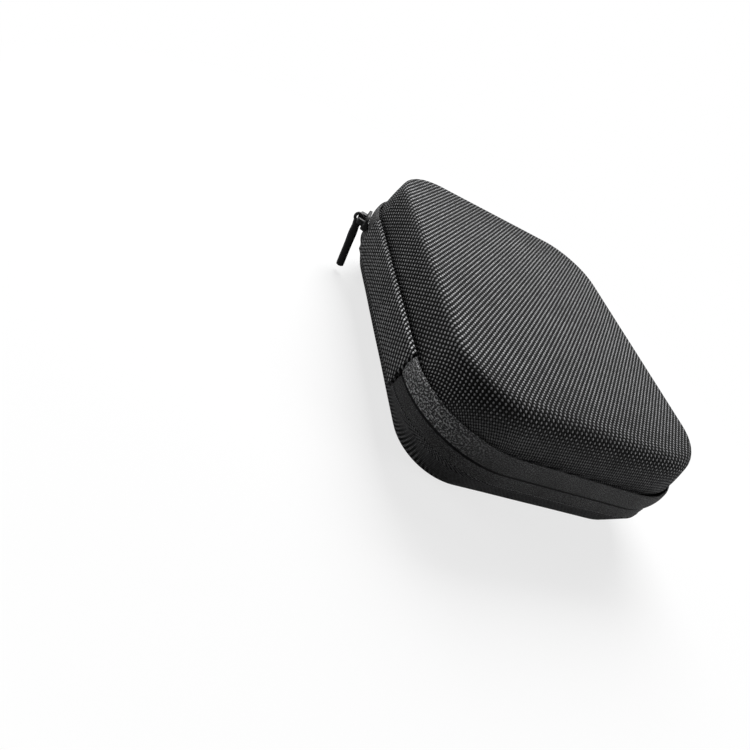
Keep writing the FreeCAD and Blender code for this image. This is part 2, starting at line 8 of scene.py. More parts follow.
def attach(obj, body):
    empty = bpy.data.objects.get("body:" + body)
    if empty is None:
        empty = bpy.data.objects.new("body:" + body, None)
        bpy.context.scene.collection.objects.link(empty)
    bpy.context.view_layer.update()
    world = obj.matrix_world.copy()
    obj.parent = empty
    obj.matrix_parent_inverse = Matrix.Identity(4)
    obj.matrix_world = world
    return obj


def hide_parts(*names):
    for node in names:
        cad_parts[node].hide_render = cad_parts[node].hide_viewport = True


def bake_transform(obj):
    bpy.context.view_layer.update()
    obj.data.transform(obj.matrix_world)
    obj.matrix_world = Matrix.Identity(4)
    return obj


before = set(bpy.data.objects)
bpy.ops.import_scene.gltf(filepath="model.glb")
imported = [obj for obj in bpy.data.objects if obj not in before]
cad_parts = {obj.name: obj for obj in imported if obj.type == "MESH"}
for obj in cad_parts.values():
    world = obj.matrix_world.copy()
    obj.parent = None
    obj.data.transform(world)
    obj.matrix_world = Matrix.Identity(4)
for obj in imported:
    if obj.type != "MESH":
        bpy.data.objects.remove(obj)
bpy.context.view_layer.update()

# Lengths are millimetres until a mesh is made, and angles are degrees. Insets and "out" are
# measured from the outline of the zip band, inwards and outwards.
MM = 0.001
WIDTH, LENGTH, BAND_RADIUS = 125.0, 150.0, 34.0
BAND_TOP, SEAM, BAND_BOTTOM = 31.0, 22.5, 15.5
WALL = 3.2

LID_RIM, LID_INSET, LID_CORNER, LID_LEAN = 28.9, 3.1, 27.0, 8.0
LID_LIP, LID_LIP_INSET, LID_FOOT = 29.5, 1.9, 29.75
LID_EDGE_HEIGHT, LID_CROWN, LID_SWELL = 46.35, 0.25, 0.25
LID_ROUND, LID_FRONT_ROUND, LID_ROUND_IN = 3.0, 7.0, 3.4

BASE_RIM, BASE_LEDGE, BASE_INSET, BASE_CORNER, BASE_LEAN = 17.1, 15.2, 2.2, 27.0, 28.0
BASE_ROUND, BASE_ROUND_IN = 11.0, 8.0
# The cloth's edge over the lower tape, as (inset, height, corner radius).
BASE_CLOTH_EDGE = ((1.6, 15.6, 30.0), (1.1, 15.95, 32.0), (0.72, 16.3, 33.2), (0.52, 16.65, 33.5),
                   (0.48, 16.95, 33.52), (0.6, 17.2, 33.4), (0.85, 17.3, 33.15),
                   (1.25, 17.2, 32.75))

# Each tape bulges by an arc: its radius, and for each tape (height of the crest, out at it).
TAPE_BULGE = 14.0
UPPER_CREST, LOWER_CREST = (27.0, 0.0), (18.8, -0.7)
SEAM_GAP, TAPE_END, TAPE_STEP, CLOSED_END_STEP = 0.22, 0.2, 1.1, 0.8

# How far the cloth is drawn along the walls for each millimetre down them, and how much
# finer the weave is on the base.
BIAS_STRETCH, BASE_WEAVE = 0.34, 1.35

# Size and height of the unevenness of the walls, the flat faces and the spine.
WALL_WOBBLE, FACE_WOBBLE, SPINE_WOBBLE = (17.0, 0.12), (21.0, 0.14), (9.0, 0.1)

ARC_STEPS, SHORT_STEPS, LONG_STEPS = 18, 14, 20
FACE_SHARES = (0.985, 0.955, 0.91, 0.85, 0.77, 0.67, 0.56, 0.44, 0.32, 0.2, 0.09)
IN_LINING, IN_CLOTH = 0, 1


# ------------------------ outlines

def ring_stations():
    """Places round a rounded rectangle, as (corner, angle, share of the run after it)."""
    places = []
    for corner in range(4):
        for step in range(ARC_STEPS + 1):
            places.append((corner, 90.0 * (corner + step / ARC_STEPS), 0.0))
        steps = SHORT_STEPS if corner in (0, 2) else LONG_STEPS
        for step in range(1, steps):
            places.append((corner, 90.0 * (corner + 1), step / steps))
    return places


STATIONS = ring_stations()
SIDES = [(1, 1), (-1, 1), (-1, -1), (1, -1)]


def on_outline(inset, radius, corner, angle, share):
    """A point of a rounded rectangle inside the band, and its outward normal."""
    reach_x = WIDTH / 2 - inset - radius
    reach_y = LENGTH / 2 - inset - radius
    turn = math.radians(angle)
    normal = Vector((math.cos(turn), math.sin(turn)))
    here, there = (Vector((SIDES[n % 4][0] * reach_x, SIDES[n % 4][1] * reach_y))
                   for n in (corner, corner + 1))
    return here.lerp(there, share) + normal * radius, normal


def band_place(distance):
    """A point of the band's outline and its normal, from the spine's front end along the zip."""
    arc = math.pi / 2 * BAND_RADIUS
    runs = [("arc", 2), ("run", 2), ("arc", 3), ("run", 3), ("arc", 0), ("run", 0), ("arc", 1)]
    for kind, corner in runs:
        side = WIDTH if corner in (0, 2) else LENGTH
        length = arc if kind == "arc" else side - 2 * BAND_RADIUS
        if distance <= length or (kind, corner) == runs[-1]:
            if kind == "arc":
                return on_outline(0, BAND_RADIUS, corner, 90 * (corner + distance / length), 0)
            return on_outline(0, BAND_RADIUS, corner, 90 * (corner + 1), distance / length)
        distance -= length


ZIP_LENGTH = 2 * math.pi * BAND_RADIUS + 2 * WIDTH + LENGTH - 6 * BAND_RADIUS


def spaced(start, end, steps):
    """Evenly spaced numbers, with both ends."""
    return [start + (end - start) * n / steps for n in range(steps + 1)]


def circle(count):
    """Evenly spaced points of a circle, as (cosine, sine)."""
    turns = [2 * math.pi * n / count for n in range(count)]
    return [(math.cos(turn), math.sin(turn)) for turn in turns]


def arc_points(centre, radius, start, end, steps):
    """Points of an arc in a section, from one angle to another."""
    turns = [math.radians(angle) for angle in spaced(start, end, steps)]
    return [(centre[0] + radius * math.cos(turn), centre[1] + radius * math.sin(turn))
            for turn in turns]


def with_cloth_length(points):
    """Adds to each point of a section how far the cloth has run to it."""
    found, total = [], 0.0
    for n, point in enumerate(points):
        if n:
            total += math.dist(points[n - 1], point)
        found.append((*point, total))
    return found


def soft_rectangle(half_wide, half_thick, wide_power, thick_power):
    """A rectangle with round corners, as a ring of sixteen points."""
    return [(half_wide * abs(wide) ** wide_power * math.copysign(1, wide),
             half_thick * abs(thick) ** thick_power * math.copysign(1, thick))
            for wide, thick in circle(16)]


def wobble(point, size, amount):
    """A small unevenness, the same at each run."""
    return amount * noise.noise(Vector(point) / size)


# ------------------------ meshes

def add_object(name, data):
    """A new object in the scene."""
    thing = bpy.data.objects.new(name, data)
    bpy.context.scene.collection.objects.link(thing)
    return thing


class Loft:
    """A mesh made of closed rows of points, with a UV map in millimetres of cloth."""

    def __init__(self):
        self.points, self.uvs, self.faces, self.kinds = [], [], [], []

    def row(self, points, uvs):
        """Adds points, and gives their numbers."""
        start = len(self.points)
        self.points.extend(points)
        self.uvs.extend(uvs)
        return range(start, start + len(points))

    def section_row(self, section, spot, normal, distance):
        """Adds a section of (out, height, cloth) that stands on a place of the outline."""
        return self.row([Vector((*(spot + normal * out), height)) for out, height, _ in section],
                        [(distance, cloth) for _, _, cloth in section])

    def face(self, corners, kind=0):
        self.faces.append(tuple(corners))
        self.kinds.append(kind)

    def join(self, low, high, kind=0, flip=False, edging=()):
        """Adds the faces between two rows; the edging's faces take the second material."""
        for n in range(len(low)):
            after = (n + 1) % len(low)
            first, last = (high[n], low[after]) if flip else (low[after], high[n])
            self.face((low[n], first, high[after], last), 1 if n in edging else kind)

    def fan(self, ring, centre, kind, flip=False):
        """Closes a row on a point in its middle."""
        for n in range(len(ring)):
            a, b = ring[n], ring[(n + 1) % len(ring)]
            self.face((b, a, centre) if flip else (a, b, centre), kind)

    def skin(self, rows):
        """Adds the faces along a line of rows, and closes both of its ends."""
        for low, high in zip(rows, rows[1:]):
            self.join(low, high)
        self.face(rows[0][::-1])
        self.face(rows[-1])

    def build(self, name, materials):
        mesh = bpy.data.meshes.new(name)
        mesh.from_pydata([p * MM for p in self.points], [], self.faces)
        flat = [value for corners in self.faces for c in corners for value in self.uvs[c]]
        mesh.uv_layers.new(name="UVMap").data.foreach_set("uv", flat)
        for material in materials:
            mesh.materials.append(material)
        mesh.polygons.foreach_set("material_index", self.kinds)
        mesh.polygons.foreach_set("use_smooth", [True] * len(self.faces))
        mesh.update()
        return add_object(name, mesh)


# ------------------------ materials

class Graph:
    """Builds the nodes of a material or a world by short calls.

    A value may be a number, a colour or a socket."""

    def __init__(self, block, shader="Principled BSDF"):
        block.use_nodes = True
        self.block, self.tree = block, block.node_tree
        self.shader = self.tree.nodes[shader]

    def fill(self, node, inputs):
        """Sets or links a node's inputs, which are given by name or number."""
        for key, value in inputs.items():
            if isinstance(value, bpy.types.NodeSocket):
                self.tree.links.new(value, node.inputs[key])
            else:
                node.inputs[key].default_value = value

    def node(self, kind, inputs=None, **settings):
        made = self.tree.nodes.new(kind)
        for key, value in settings.items():
            setattr(made, key, value)
        self.fill(made, inputs or {})
        return made

    def math(self, operation, *values):
        inputs = dict(enumerate(values))
        return self.node("ShaderNodeMath", inputs, operation=operation).outputs[0]

    def times(self, product, *others):
        for other in others:
            product = self.math("MULTIPLY", product, other)
        return product

    def times_plus(self, a, b, c):
        return self.math("MULTIPLY_ADD", a, b, c)

    def wave(self, value, pitch):
        return self.math("SINE", self.times(value, 2 * math.pi / pitch))

    def ramp(self, value, low, high, from_low=0.0, from_high=1.0):
        """Runs from low to high while the value runs from from_low to from_high."""
        inputs = {"Value": value, "From Min": from_low, "From Max": from_high,
                  "To Min": low, "To Max": high}
        return self.node("ShaderNodeMapRange", inputs).outputs[0]

    def beyond(self, value, start, end):
        """0 on both sides of the middle as far as start, and 1 past end."""
        return self.ramp(self.math("ABSOLUTE", value), 0.0, 1.0, start, end)

    def parts(self, vector):
        return self.node("ShaderNodeSeparateXYZ", {0: vector}).outputs

    def object_place(self):
        return self.node("ShaderNodeTexCoord").outputs["Object"]

    def cloth_place(self, tilt=0.0):
        """The UV map's two coordinates in millimetres, turned by tilt, and both as a vector."""
        place = self.node("ShaderNodeUVMap", uv_map="UVMap").outputs[0]
        turned = self.node("ShaderNodeMapping", {"Vector": place,
                                                 "Rotation": (0, 0, math.radians(tilt))})
        u, v, _ = self.parts(turned.outputs[0])
        return u, v, turned.outputs[0]

    def noise(self, vector, scale, detail=2.0, rough=0.5):
        inputs = {"Vector": vector, "Scale": scale, "Detail": detail, "Roughness": rough}
        return self.node("ShaderNodeTexNoise", inputs).outputs["Fac"]

    def mix_colour(self, share, dark, light):
        inputs = {0: share, 6: (*dark, 1), 7: (*light, 1)}
        return self.node("ShaderNodeMix", inputs, data_type="RGBA").outputs[2]

    def bump(self, height, relief):
        inputs = {"Strength": 1.0, "Distance": relief * MM, "Height": height}
        self.fill(self.shader, {"Normal": self.node("ShaderNodeBump", inputs).outputs[0]})

    def finish(self, colour, rough, specular=0.5, sheen=0.0):
        self.fill(self.shader, {"Base Color": colour, "Roughness": rough, "Sheen Weight": sheen,
                                "Sheen Roughness": 0.4, "Specular IOR Level": specular})
        return self.block

    def camera_ray(self):
        return self.node("ShaderNodeLightPath").outputs["Is Camera Ray"]

    def show_mixed(self, output, share, other):
        """Shows the main shader mixed with another node's."""
        mixed = self.node("ShaderNodeMixShader", {0: share, 1: self.shader.outputs[0],
                                                  2: other.outputs[0]})
        self.fill(self.tree.nodes[output], {"Surface": mixed.outputs[0]})


def material_graph(name):
    """The graph of a new material."""
    return Graph(bpy.data.materials.new(name))


def plain_weave(g, u, v):
    """A plain weave: its height, which crossings show the yarn that takes the painted highlight,
    and a chance for each.

    That yarn's floats join into slanting ribs, and part where the cloth is stretched
    over an edge."""
    yarns_u, yarns_v, skew = 0.955, 0.84, -0.1
    a = g.times(u, yarns_u)
    b = g.times_plus(u, skew, g.times(v, yarns_v))
    cell_a, cell_b = g.math("FLOOR", a), g.math("FLOOR", b)
    highlit_yarn = g.math("FLOORED_MODULO", g.math("ADD", cell_a, cell_b), 2.0)
    off_a = g.math("SUBTRACT", g.math("FRACT", a), 0.5)
    off_b = g.math("SUBTRACT", g.math("FRACT", b), 0.5)
    slant, cross = g.math("ADD", off_a, off_b), g.math("SUBTRACT", off_a, off_b)

    def bead(along, across, half_long, half_wide, rise):
        """A rounded float that is longest along its own yarn."""
        body = g.times_plus(g.times(along, along), -1 / half_long ** 2, 1.0)
        body = g.times_plus(g.times(across, across), -1 / half_wide ** 2, body)
        return g.times(g.math("SQRT", g.math("MAXIMUM", body, 0.0)), rise)

    dark_float = bead(off_b, off_a, 0.62, 0.46, 0.62)
    stretched = g.math("MAXIMUM", g.beyond(v, 48.0, 58.0), g.beyond(u, 57.0, 61.0))
    slant = g.times(slant, g.times_plus(stretched, 0.36, 1.0))
    highlit_float = bead(slant, cross, 1.12, 0.66, 1.0)
    floats = {0: highlit_yarn, 2: dark_float, 3: highlit_float}
    height = g.node("ShaderNodeMix", floats, data_type="FLOAT").outputs[0]
    cell = g.node("ShaderNodeCombineXYZ", {0: cell_a, 1: cell_b}).outputs[0]
    chance = g.node("ShaderNodeTexWhiteNoise", {"Vector": cell}, noise_dimensions="2D")
    return height, highlit_yarn, chance.outputs["Value"]


def shell_cloth():
    """Heavy plain-woven nylon: glossy floats of one yarn, whose crests carry a painted highlight,
    with the other yarn dull and dark.

    On the end walls, across the grain, the painted highlight falls on both yarns alike at half
    strength. A painted highlight brightens the turned edge of the spine, most at its front end."""
    # light is the colour of the painted highlight on the float crests.
    dark, light, relief, gloss = (0.002, 0.002, 0.0022), (0.825, 0.828, 0.842), 0.42, 0.34
    # Where the painted highlight on the spine's turned edge begins and ends, in metres.
    highlight_x, highlight_y, highlight_z = (-0.0608, -0.0603), (-0.025, 0.035), (0.03, 0.0306)
    g = material_graph("shell_cloth")
    u, v, place = g.cloth_place()
    height, highlit_yarn, chance = plain_weave(g, u, v)
    fibre = g.noise(place, 5.0, rough=0.6)
    highlight_patches = g.noise(place, 0.035, detail=3.0)
    end_wall = g.math("MAXIMUM", g.beyond(v, 68.0, 79.0), g.beyond(u, 78.0, 84.0))
    dark_float = g.times(end_wall, g.math("SUBTRACT", 1.0, highlit_yarn))
    # Painted highlight on the float crests: one yarn's, and both yarns' on the end walls, in broad
    # patches.
    crest = g.ramp(g.times_plus(dark_float, 0.36, height), 0.0, 1.0, 0.5, 1.0)
    share = g.times(crest, g.math("MAXIMUM", highlit_yarn, end_wall), g.ramp(chance, 0.7, 1.1),
                    g.ramp(highlight_patches, 0.85, 1.15, 0.3, 0.7), g.times_plus(end_wall, -0.5, 1.0))
    x, y, z = g.parts(g.object_place())
    wear_and_highlight = g.times(g.ramp(x, 1.0, 0.0, *highlight_x), g.ramp(z, 0.0, 1.0, *highlight_z),
                     g.ramp(y, 1.0, 0.2, *highlight_y))
    # Painted highlight: 0.4 of full strength over the cloth, up to 0.9 along the spine's turned
    # edge.
    lit = g.times(share, g.times_plus(wear_and_highlight, 0.5, 0.4))
    g.bump(g.times_plus(fibre, 0.12, height), relief)
    return g.finish(g.mix_colour(lit, dark, light), g.times_plus(share, gloss - 1.0, 1.0), 0.28)


def tape_cloth():
    """Fine woven tape with an uneven, speckled surface.

    The lid's tape carries a painted highlight of bright specks where the zip starts."""
    dark, light, relief = (0.003, 0.003, 0.0033), (0.6, 0.602, 0.61), 0.5
    # The painted glints are full up to 20 mm from the zip's start and gone by 46 mm.
    glints_full_to, glints_gone_from, edge = 20.0, 46.0, 0.1
    g = material_graph("tape_cloth")
    u, v, place = g.cloth_place()
    diagonal = g.wave(g.math("ADD", u, g.times(v, 1.3)), 0.62)
    cross = g.wave(g.math("SUBTRACT", u, g.times(v, 0.8)), 0.5)
    twill = g.math("ADD", g.times(diagonal, 0.16), g.times(cross, 0.1))
    grain = g.math("ADD", twill, g.times(g.noise(place, 2.3, rough=0.7), 2.0))
    broad = g.noise(place, 0.09)
    share = g.times(g.ramp(grain, 0.0, 0.33, 0.95, 1.3), g.ramp(broad, 0.7, 1.2, 0.3, 0.7))
    height = g.parts(g.object_place())[2]
    above_seam = g.ramp(height, 0.0, 1.0, (SEAM - edge) * MM, (SEAM + edge) * MM)
    # Painted highlight: near the zip's start on the lid's tape, bright specks take the place of
    # most of the ordinary speckle.
    start = g.times(g.ramp(u, 1.0, 0.0, glints_full_to, glints_gone_from), above_seam)
    painted_glints = g.ramp(g.noise(place, 1.5, rough=0.6), 0.0, 1.0, 0.5, 0.6)
    share = g.times(share, g.times_plus(start, -0.6, 1.0))
    share = g.times_plus(start, painted_glints, share)
    g.bump(grain, relief)
    return g.finish(g.mix_colour(share, dark, light), g.times_plus(share, -0.3, 0.62))


def lining_cloth():
    """Brushed knit lining."""
    dark, light, relief = (0.012, 0.012, 0.013), (0.045, 0.045, 0.047), 0.12
    g = material_graph("lining_cloth")
    u, v, place = g.cloth_place(tilt=4.0)
    loops = g.times(g.wave(u, 0.9), g.wave(v, 0.7))
    pile = g.noise(place, 3.0, 4.0, 0.7)
    broad = g.noise(place, 0.05)
    share = g.times(g.ramp(pile, 0.0, 1.0, 0.25, 0.75), g.ramp(broad, 0.7, 1.1, 0.3, 0.7))
    g.bump(g.math("ADD", g.times(loops, 0.3), pile), relief)
    return g.finish(g.mix_colour(share, dark, light), 0.85, specular=0.25, sheen=0.35)


def ribbed_cloth(name, pitch, light, relief):
    """A narrow woven tape whose ribs run across it."""
    g = material_graph(name)
    u, v, place = g.cloth_place()
    thread = g.times_plus(g.wave(v, 0.8 * pitch), 0.15, g.noise(place, 4.0, 3.0, 0.6))
    grain = g.math("ADD", g.times(g.wave(u, pitch), 0.35), thread)
    colour = g.mix_colour(g.ramp(grain, 0.0, 1.0, 0.1, 1.0), (0.006, 0.006, 0.0065), light)
    g.bump(grain, relief)
    return g.finish(colour, 0.7, specular=0.35, sheen=0.15)


def nylon(name, light, rough):
    """Smooth drawn nylon, a little uneven in gloss."""
    g = material_graph(name)
    place = g.object_place()
    cloud = g.noise(place, 900.0)
    colour = g.mix_colour(cloud, (0.006, 0.006, 0.007), light)
    g.bump(g.noise(place, 3000.0), 0.03)
    return g.finish(colour, g.ramp(cloud, rough - 0.06, rough + 0.1))


def enamel(name, base_colour, worn_colour, rough):
    """Black enamel over metal, rubbed through on its sharpest edges."""
    wear_from = 0.56
    g = material_graph(name)
    place = g.object_place()
    edge = g.node("ShaderNodeNewGeometry").outputs["Pointiness"]
    patch = g.noise(place, 1500.0, 3.0, 0.6)
    wear_and_highlight = g.times(g.ramp(edge, 0.0, 1.0, wear_from, wear_from + 0.05),
                     g.ramp(patch, 0.0, 1.0, 0.45, 0.6))
    g.bump(g.noise(place, 2500.0, 3.0), 0.02)
    return g.finish(g.mix_colour(wear_and_highlight, base_colour, worn_colour),
                    g.ramp(patch, rough, rough + 0.14), specular=0.35)


CLOTH = shell_cloth()
TAPE = tape_cloth()
LINING = lining_cloth()
BINDING = ribbed_cloth("binding_tape", 0.7, (0.04, 0.04, 0.042), 0.12)
ELASTIC = ribbed_cloth("elastic_tape", 1.1, (0.035, 0.035, 0.037), 0.2)
NET = nylon("net_yarn", (0.03, 0.03, 0.032), 0.5)
# Near-black matte nylon on the tapes' seam edges: painted shade in the slot between the tapes.
SEAM_SHADE = nylon("seam_painted_shade", (0.008, 0.008, 0.008), 0.9)
COIL = nylon("coil_nylon", (0.016, 0.016, 0.018), 0.32)
THREAD = nylon("sewing_thread", (0.05, 0.05, 0.052), 0.45)
SLIDER = enamel("slider_enamel", (0.009, 0.009, 0.01), (0.13, 0.13, 0.134), 0.44)
PULL = enamel("pull_enamel", (0.014, 0.014, 0.015), (0.05, 0.05, 0.05), 0.42)


# ------------------------ shells

def shell(name, profile, front_profile, centre_from, centre_to, true_rings, lay):
    """A closed moulded shell lofted round the case.

    profile holds (inset, height, corner radius, material) and front_profile the same rings
    in the middle of the front. centre_from and centre_to are (height, rise) inside the first
    and last rings. true_rings are the two rings where the cloth is neither drawn in nor out,
    and lay gives a flat cloth point from (place, normal, run down the wall)."""
    loft = Loft()
    flat_rings, flat_front = (cloth_rings(rings, true_rings) for rings in (profile, front_profile))

    def ring_row(number, share, level):
        inset, height, radius, kind = profile[number]
        front_inset, front_height, front_radius, _ = front_profile[number]
        points, uvs = [], []
        for station in STATIONS:
            spot, normal = on_outline(inset, radius, *station)
            front = max(0.0, -normal.y) ** 2
            front_spot, _ = on_outline(front_inset, front_radius, *station)
            spot = spot.lerp(front_spot, front) * share
            lift = height + (front_height - height) * front
            if level:
                lift = level[0] + level[1] * (1 - share * share)
            p = Vector((*spot, lift))
            p += normal.to_3d() * wobble(p, *WALL_WOBBLE)
            if share < 1:
                p.z += wobble(p, *FACE_WOBBLE) * min(1.0, (1 - share) * 8)
            points.append(p)
            cloth, front_cloth = (cloth_point(rings[number], station, share, lay)
                                  for rings in (flat_rings, flat_front))
            uvs.append(tuple(cloth.lerp(front_cloth, front)))
        return loft.row(points, uvs), kind

    rows = [ring_row(0, share, centre_from) for share in FACE_SHARES[::-1]]
    first = loft.row([Vector((0, 0, sum(centre_from)))], [(0.0, 0.0)])[0]
    rows += [ring_row(number, 1.0, None) for number in range(len(profile))]
    rows += [ring_row(len(profile) - 1, share, centre_to) for share in FACE_SHARES]
    last = loft.row([Vector((0, 0, sum(centre_to)))], [(0.0, 0.0)])[0]
    loft.fan(rows[0][0], first, rows[0][1], flip=True)
    for (low, kind), (high, _) in zip(rows, rows[1:]):
        loft.join(low, high, kind)
    loft.fan(rows[-1][0], last, rows[-1][1])
    return loft.build(name, [LINING, CLOTH])


def cloth_rings(profile, true_rings):
    """For each ring, its inset and corner radius in the flat cloth and its run down the wall.

    Lining and cloth are each laid out from the flat face that they start from."""
    kinds = [ring[3] for ring in profile]
    change = next(n for n in range(1, len(kinds)) if kinds[n] != kinds[n - 1])
    run = [0.0]
    for a, b in zip(profile, profile[1:]):
        run.append(run[-1] + math.dist(a[:2], b[:2]))
    rings = []
    for n in range(len(profile)):
        datum = true_rings[0] if n < change else true_rings[1]
        reach = (run[n] - run[datum]) * (1 if n < change else -1)
        depth = run[n] if n < change else run[-1] - run[n]
        rings.append((profile[datum][0] - reach, profile[datum][2] + reach, depth))
    return rings


def cloth_point(flat_ring, station, share, lay):
    """Where a place of a ring lies in the flat cloth."""
    inset, radius, depth = flat_ring
    spot, normal = on_outline(inset, radius, *station)
    return lay(spot * share, normal, depth)


def pulled_askew(place, normal, depth):
    """Cloth that was pulled along the left and front walls as it was moulded."""
    pull = Vector((max(0.0, -normal.y), max(0.0, -normal.x)))
    return place - pull * BIAS_STRETCH * depth


def quarter_turned(place, normal, depth):
    """Cloth cut across the other one's grain."""
    return Vector((place.y, -place.x)) * BASE_WEAVE


def round_centre(sharp, level, radius, lean):
    """Centre of the round between a leaning wall and a flat face, which meet at sharp.

    The round lies above the face where its radius is positive, and below it where negative."""
    return sharp + abs(radius) * math.tan(math.radians((90 - lean) / 2)), level + radius


def rings_at(places, inset, corner, kind):
    """Rings through (inset, height) places, round the corner centres of a ring at inset."""
    return [(place, height, corner - (place - inset), kind) for place, height in places]


def lid_profile(edge_round):
    """Lining from the ceiling down, the sewing lip, then cloth up the wall and over its edge."""
    slope = math.tan(math.radians(LID_LEAN))
    ceiling = LID_EDGE_HEIGHT + LID_CROWN - WALL
    inner_rim = LID_INSET + WALL / math.cos(math.radians(LID_LEAN))
    corner_in = LID_CORNER - (inner_rim - LID_INSET)
    centre = round_centre(inner_rim + (ceiling - LID_RIM) * slope, ceiling, -LID_ROUND_IN, LID_LEAN)
    inner = arc_points(centre, LID_ROUND_IN, 90, 180 - LID_LEAN, 7)
    inner += [(inner_rim + (height - LID_RIM) * slope, height)
              for height in spaced(inner[-1][1], LID_RIM + 0.25, 5)[1:]]
    inner.append((inner_rim - 0.3, LID_RIM + 0.05))
    foot = LID_INSET + (LID_LIP + 0.05 - LID_RIM) * slope
    centre = round_centre(LID_INSET + (LID_EDGE_HEIGHT - LID_RIM) * slope, LID_EDGE_HEIGHT,
                          -edge_round, LID_LEAN)
    edge = arc_points(centre, edge_round, 180 - LID_LEAN, 90, 9)
    wall_steps = 9
    wall = []
    for step, height in enumerate(spaced(LID_FOOT, edge[0][1], wall_steps)):
        lean = (height - LID_RIM) * slope
        swell = LID_SWELL * math.sin(math.pi * step / wall_steps)
        wall.append((LID_INSET + lean - swell, height, LID_CORNER - lean, IN_CLOTH))
    lip = [(LID_LIP_INSET, LID_RIM + 0.05), (LID_LIP_INSET, LID_LIP)]
    return (rings_at(inner, inner_rim, corner_in, IN_LINING)
            + rings_at(lip, 0.0, BAND_RADIUS, IN_CLOTH)
            + rings_at([(foot + 0.2, LID_LIP), (foot + 0.5, LID_FOOT)], LID_INSET, LID_CORNER,
                       IN_CLOTH)
            + wall[1:-1] + rings_at(edge, LID_INSET, LID_CORNER, IN_CLOTH))


def base_profile():
    """Cloth from the underside up the wall, the sewing lip, then lining down to the floor."""
    slope = math.tan(math.radians(BASE_LEAN))
    turn = 90 - BASE_LEAN
    centre = round_centre(BASE_INSET + BASE_LEDGE * slope, 0.0, BASE_ROUND, BASE_LEAN)
    outer = arc_points(centre, BASE_ROUND, 270, 270 - turn, 12)
    outer += [(BASE_INSET + (BASE_LEDGE - height) * slope, height)
              for height in spaced(outer[-1][1], BASE_LEDGE, 6)[1:]]
    inner_rim = (BASE_INSET + WALL / math.cos(math.radians(BASE_LEAN))
                 - (BASE_RIM - BASE_LEDGE) * slope)
    corner_in = BASE_CORNER - (inner_rim - BASE_INSET)
    centre = round_centre(inner_rim + (BASE_RIM - WALL) * slope, WALL, BASE_ROUND_IN, BASE_LEAN)
    edge = arc_points(centre, BASE_ROUND_IN, 270 - turn, 270, 8)
    inner = [(inner_rim - 0.3, BASE_RIM - 0.05)]
    inner += [(inner_rim + (BASE_RIM - height) * slope, height)
              for height in spaced(BASE_RIM - 0.3, edge[0][1], 5)[:-1]]
    return (rings_at(outer, BASE_INSET, BASE_CORNER, IN_CLOTH)
            + [(*place, IN_CLOTH) for place in BASE_CLOTH_EDGE]
            + rings_at([(2.5, BASE_RIM - 0.05)], 0.0, BAND_RADIUS, IN_CLOTH)
            + rings_at(inner + edge, inner_rim, corner_in, IN_LINING))


lid_rings = lid_profile(LID_ROUND)
lid = shell("lid_cover", lid_rings, lid_profile(LID_FRONT_ROUND),
            (LID_EDGE_HEIGHT + LID_CROWN - WALL, 0.0), (LID_EDGE_HEIGHT, LID_CROWN),
            (0, len(lid_rings) - 1), pulled_askew)
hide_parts("lid_shell")
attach(lid, "lid")

base_rings = base_profile()
ledge_ring = next(n for n, ring in enumerate(base_rings) if abs(ring[1] - BASE_LEDGE) < 0.01)
base = shell("base_cover", base_rings, base_rings, (0.0, 0.0), (WALL, 0.0),
             (ledge_ring, len(base_rings) - 1), quarter_turned)
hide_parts("base_shell")
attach(base, "base")


# ------------------------ zip

def tape_out(height, crest):
    """How far out a tape's face is at a height."""
    crest_height, crest_out = crest
    rise = math.sqrt(max(TAPE_BULGE ** 2 - (height - crest_height) ** 2, 0))
    return crest_out + rise - TAPE_BULGE


def tape_section(crest, seam, sewn):
    """A tape cut across, from its seam edge over the face to its turned-in sewn edge."""
    thick, away = 1.15, math.copysign(1, sewn - seam)
    turned_edge = ((0.02, 0.42), (0.2, 0.1), (0.5, 0.0), (0.8, 0.12), (0.95, 0.5))
    face = [(tape_out(height, crest), height) for height in spaced(seam, sewn, 14)]
    seam_out, sewn_out = face[0][0] - 0.34, face[-1][0]
    back = min(crest[1] - thick, sewn_out - turned_edge[-1][0])
    points = [(seam_out, seam), (face[1][0] - 0.04, seam + away * 0.46)] + face[1:-1]
    points += [(sewn_out - depth, sewn - away * drop) for depth, drop in turned_edge]
    points += [(back, sewn - away * 1.4), (back - 0.05, crest[0]),
               (seam_out - 0.55, seam + away * 0.5), (seam_out - 0.5, seam + away * 0.05)]
    return with_cloth_length(points)[::1 if sewn > seam else -1]


def strip_along_zip(name, section, start, end, step):
    """A tape's section carried along the zip; its seam edge takes a near-black material of its own,
    painted shade in the slot between the tapes.
    """
    loft = Loft()
    rows = [loft.section_row(section, *band_place(distance), distance)
            for distance in spaced(start, end, round((end - start) / step))]
    for low, high in zip(rows, rows[1:]):
        loft.join(low, high, flip=True, edging=(0, len(section) - 2, len(section) - 1))
    loft.face(rows[0])
    loft.face(rows[-1][::-1])
    return loft.build(name, [TAPE, SEAM_SHADE])


UPPER_TAPE = tape_section(UPPER_CREST, SEAM + SEAM_GAP, BAND_TOP)
LOWER_TAPE = tape_section(LOWER_CREST, SEAM - SEAM_GAP, BAND_BOTTOM)
ZIP_END = ZIP_LENGTH - TAPE_END
CLOSED_START = ZIP_LENGTH - math.radians(31.8) * BAND_RADIUS

upper_tape = strip_along_zip("upper_tape", UPPER_TAPE, TAPE_END, CLOSED_START, TAPE_STEP)
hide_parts("upper_zip_tape")
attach(upper_tape, "lid")

lower_tape = strip_along_zip("lower_tape", LOWER_TAPE, TAPE_END, ZIP_END, TAPE_STEP)
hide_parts("lower_zip_tape")
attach(lower_tape, "base")

closed_end = strip_along_zip("closed_end_tape", UPPER_TAPE, CLOSED_START + 0.05, ZIP_END,
                             CLOSED_END_STEP)
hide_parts("zip_closed_end")
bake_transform(closed_end)


